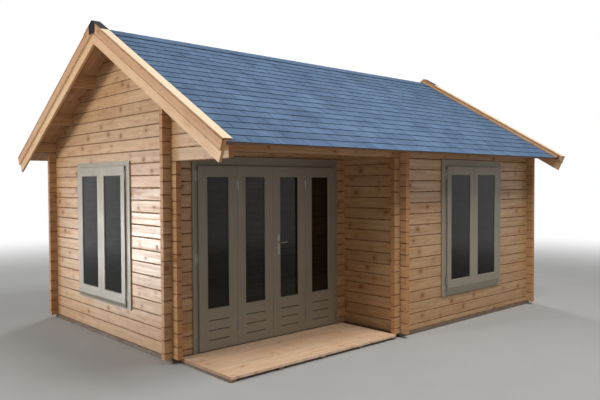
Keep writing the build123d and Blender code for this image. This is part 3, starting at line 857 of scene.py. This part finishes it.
# Deck boards with ribs along them, and a pair of screws at every joist
plank_places = []
far = deck_high.y
while far > deck_low.y + DECK_LEAST:
    plank_places.append((far - DECK_BOARD, far))
    far -= DECK_BOARD + DECK_GAP
top = deck_high.z
rib_pitch = (DECK_BOARD - 2 * DECK_MARGIN) / DECK_RIBS
planks = Solids()
for near, far in plank_places:
    outline = [
        (near, deck_low.z),
        (far, deck_low.z),
        (far, top - DECK_EDGE),
        (far - DECK_EDGE, top),
    ]
    for n in range(DECK_RIBS - 1, 0, -1):
        middle = near + DECK_MARGIN + n * rib_pitch
        outline += [
            (middle + GROOVE_HALF_TOP, top),
            (middle + GROOVE_HALF_FOOT, top - GROOVE_DEPTH),
            (middle - GROOVE_HALF_FOOT, top - GROOVE_DEPTH),
            (middle - GROOVE_HALF_TOP, top),
        ]
    outline += [(near + DECK_EDGE, top), (near, top - DECK_EDGE)]
    planks.loft([[(x, y, z) for y, z in outline] for x in (deck_low.x, deck_high.x)])
planks.piece("deck_planks", decking, ("deck_boards",))

deck_screws = Solids()
for left, right in pairs("deck_joists", 0):
    for near, far in plank_places:
        for y in (near + DECK_SCREW_INSET, far - DECK_SCREW_INSET):
            place = ((left + right) / 2, y, deck_high.z - SCREW_SUNK)
            deck_screws.lathe(place, (0, 0, 1), SCREW, SCREW_SIDES)
deck_screws.piece("deck_screws", zinc, smooth=True)

# Door handle: a plate with rounded ends, a lever on a collar, a lock cylinder and two screws
handle = Solids()
handle_low, handle_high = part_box("door_handle")
plate_x = pairs("door_handle", 0)[0][0] + PLATE_WIDTH / 2
plate_face = handle_high.y - PLATE_THICK
half = PLATE_WIDTH / 2 - PLATE_CORNER
plate_low = handle_low.z + PLATE_CORNER
plate_high = handle_high.z - PLATE_CORNER
outline = []
corners = ((half, plate_high), (-half, plate_high), (-half, plate_low), (half, plate_low))
for quarter, (x, z) in enumerate(corners):
    for step in range(CORNER_STEPS + 1):
        angle = math.pi / 2 * (quarter + step / CORNER_STEPS)
        outline.append((x, z, math.cos(angle), math.sin(angle)))
rings = []
for out, inset in ((0.0, 0.0), (PLATE_THICK - PLATE_EDGE, 0.0), (PLATE_THICK, PLATE_EDGE)):
    reach = PLATE_CORNER - inset
    y = handle_high.y - out
    rings.append([(plate_x + x + reach * c, y, z + reach * s) for x, z, c, s in outline])
handle.loft(rings)
lever_z = handle_low.z + LEVER_UP
lever_y = handle_low.y + LEVER_ROOM / 2
lever_end = handle_high.x - 0.001
place = (plate_x, plate_face + COLLAR_OUT, lever_z)
handle.lathe(place, (0, -1, 0), COLLAR, TURNED_SIDES)
path = (
    (plate_x, plate_face - 0.010, lever_z),
    (plate_x, plate_face - 0.024, lever_z),
    (plate_x + 0.004, lever_y + 0.004, lever_z),
    (plate_x + 0.014, lever_y + 0.001, lever_z),
    (plate_x + 0.030, lever_y + 0.001, lever_z),
    (lever_end - 0.020, lever_y + 0.001, lever_z),
    (lever_end - 0.006, lever_y + 0.001, lever_z),
)
handle.bar(path, LEVER_WIDTH, LEVER_THICK, LEVER_DOME)
place = (plate_x, plate_face + LOCK_OUT, handle_low.z + LOCK_UP)
handle.lathe(place, (0, -1, 0), LOCK, TURNED_SIDES)
for z in (handle_low.z + PLATE_SCREW_INSET, handle_high.z - PLATE_SCREW_INSET):
    handle.lathe((plate_x, plate_face, z), (0, -1, 0), SCREW, SCREW_SIDES)
handle.piece("door_handle_round", steel, ("door_handle",), smooth=True)

# Vent slots in the door leaves: a dark mesh at the bottom of each one
leaf_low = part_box("door_leaf_1")[0]
back = leaf_low.y + SLOT_DEPTH
face = back - MESH_THICK
bulge = back - MESH_THICK * MESH_BULGE
meshes = Solids()
for left, right in pairs("door_glass", 0):
    for n in range(DOOR_SLOTS):
        middle = leaf_low.z + (n + 1) * SLOT_PITCH
        section = (
            (back, middle - SLOT_HALF),
            (face, middle - SLOT_HALF),
            (bulge, middle - SLOT_HALF * 0.5),
            (bulge, middle + SLOT_HALF * 0.5),
            (face, middle + SLOT_HALF),
            (back, middle + SLOT_HALF),
        )
        meshes.loft([[(x, y, z) for y, z in section] for x in (left, right)])
meshes.piece("door_vent_meshes", seal)

# Glazing: a rubber seal round each pane's outside and a bead round its inside
beads = Solids()
seals = Solids()
for node, axis in (("front_window_glass", 0), ("door_glass", 0), ("gable_window_glass", 1)):
    low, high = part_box(node)
    outer = low.y if axis == 0 else low.x
    inner = high.y if axis == 0 else high.x
    thick = inner - outer

    def plane(across, up, out, axis=axis, outer=outer):
        return (across, outer - out, up) if axis == 0 else (outer - out, across, up)

    up = (low.z, high.z)
    for across in pairs(node, axis):
        seals.picture_frame(across, up, plane, SEAL)
        beads.picture_frame(across, up, plane, [(inset, out - thick) for inset, out in BEAD])
seals.piece("pane_seals", seal)
beads.piece("pane_beads", taupe)

# Bargeboard screws: pairs through the lower board, at the purlins and the named runs
purlin_y = [abs(sum(place) / 2) for place in pairs("purlins", 1)]
purlin_runs = {round(y / cos_pitch, 3) for y in purlin_y if y > RIDGE_PURLIN_HALF}
screw_runs = sorted(purlin_runs | set(VERGE_SCREW_RUNS))
verge_screws = Solids()
for node, way in (("bargeboards_left", -1), ("bargeboards_right", 1)):
    low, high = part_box(node)
    face = low.x if way < 0 else high.x
    for side in (-1, 1):
        for down in screw_runs:
            for height in VERGE_SCREW_HEIGHTS:
                place = slope(face - way * SCREW_SUNK, down, height, side)
                verge_screws.lathe(place, (way, 0, 0), SCREW, SCREW_SIDES)
verge_screws.piece("verge_screws", zinc, smooth=True)


# Stage, light and camera


def white_rays(tree):
    """1 where a ray sees the white background: from the camera, reflected or through glass."""
    path = tree.nodes.new("ShaderNodeLightPath")
    first = tree.nodes.new("ShaderNodeMath")
    first.operation = "MAXIMUM"
    second = tree.nodes.new("ShaderNodeMath")
    second.operation = "MAXIMUM"
    tree.links.new(path.outputs["Is Camera Ray"], first.inputs[0])
    tree.links.new(path.outputs["Is Glossy Ray"], first.inputs[1])
    tree.links.new(first.outputs[0], second.inputs[0])
    tree.links.new(path.outputs["Is Transmission Ray"], second.inputs[1])
    return second.outputs[0]


def pale_floor():
    """Grey near the building, and white like the background further away."""
    g = Graph("pale_floor")
    grain = g.noise(g.place, 2.0, 4.0)
    g.set(Base_Color=g.mix(grain, screen(168, 168, 167), screen(176, 176, 175)), Roughness=0.9)
    glow = g.add("Emission")
    glow.inputs["Strength"].default_value = 1.0
    distance = g.add("VectorMath", operation="LENGTH")
    g.feed(distance.inputs[0], g.place)
    blend = g.add("MixShader")
    fade = g.times(g.ramp(distance.outputs["Value"], *FLOOR_FADE), white_rays(g.tree))
    g.feed(blend.inputs[0], fade)
    g.feed(blend.inputs[1], g.shader.outputs[0])
    g.feed(blend.inputs[2], glow.outputs[0])
    g.feed(g.tree.nodes["Material Output"].inputs["Surface"], blend.outputs[0])
    return g.material


def area_light(name, place, target, size, power, colour):
    data = bpy.data.lights.new(name, "AREA")
    data.shape = "RECTANGLE"
    data.size, data.size_y = size
    data.energy = power
    data.color = colour
    lamp = bpy.data.objects.new(name, data)
    lamp.location = place
    aim = Vector(target) - Vector(place)
    lamp.rotation_mode = "QUATERNION"
    lamp.rotation_quaternion = aim.to_track_quat("-Z", "Y")
    lamp.visible_camera = False
    scene.collection.objects.link(lamp)
    return lamp


scene = bpy.context.scene
scene.view_settings.view_transform = "Standard"

mesh = bpy.data.meshes.new("studio_floor")
floor_corners = [
    (x * FLOOR_REACH, y * FLOOR_REACH, 0) for x, y in ((-1, -1), (1, -1), (1, 1), (-1, 1))
]
mesh.from_pydata(floor_corners, [], [(0, 1, 2, 3)])
mesh.materials.append(pale_floor())
floor = bpy.data.objects.new("studio_floor", mesh)
floor.location.z = -FLOOR_SUNK
scene.collection.objects.link(floor)

world = bpy.data.worlds.new("studio")
scene.world = world
world.use_nodes = True
tree = world.node_tree
background = tree.nodes["Background"]
background.inputs["Color"].default_value = WORLD_COLOUR
background.inputs["Strength"].default_value = WORLD_LIGHT
white = tree.nodes.new("ShaderNodeBackground")
white.inputs["Color"].default_value = (1, 1, 1, 1)
choice = tree.nodes.new("ShaderNodeMixShader")
tree.links.new(white_rays(tree), choice.inputs[0])
tree.links.new(background.outputs[0], choice.inputs[1])
tree.links.new(white.outputs[0], choice.inputs[2])
tree.links.new(choice.outputs[0], tree.nodes["World Output"].inputs["Surface"])

lamps = {lamp[0]: area_light(*lamp) for lamp in LAMPS}
# This lamp gives the logs their sheen alone
lamps["sheen"].data.spread = SHEEN_SPREAD
lamps["sheen"].visible_diffuse = False

forward = Vector(
    (
        math.sin(CAMERA_YAW) * math.cos(CAMERA_PITCH),
        math.cos(CAMERA_YAW) * math.cos(CAMERA_PITCH),
        math.sin(CAMERA_PITCH),
    )
)
level_right = Vector((math.cos(CAMERA_YAW), -math.sin(CAMERA_YAW), 0))
level_up = level_right.cross(forward)
right = math.cos(CAMERA_ROLL) * level_right + math.sin(CAMERA_ROLL) * level_up
up = math.cos(CAMERA_ROLL) * level_up - math.sin(CAMERA_ROLL) * level_right
camera_data = bpy.data.cameras.new("camera")
camera_data.lens = CAMERA_LENS
camera_data.sensor_width = CAMERA_SENSOR
camera_data.sensor_fit = "HORIZONTAL"
camera_data.clip_end = CAMERA_FAR
camera = bpy.data.objects.new("camera", camera_data)
camera.matrix_world = Matrix(
    (
        (right.x, up.x, -forward.x, CAMERA_PLACE[0]),
        (right.y, up.y, -forward.y, CAMERA_PLACE[1]),
        (right.z, up.z, -forward.z, CAMERA_PLACE[2]),
        (0, 0, 0, 1),
    )
)
scene.collection.objects.link(camera)
scene.camera = camera
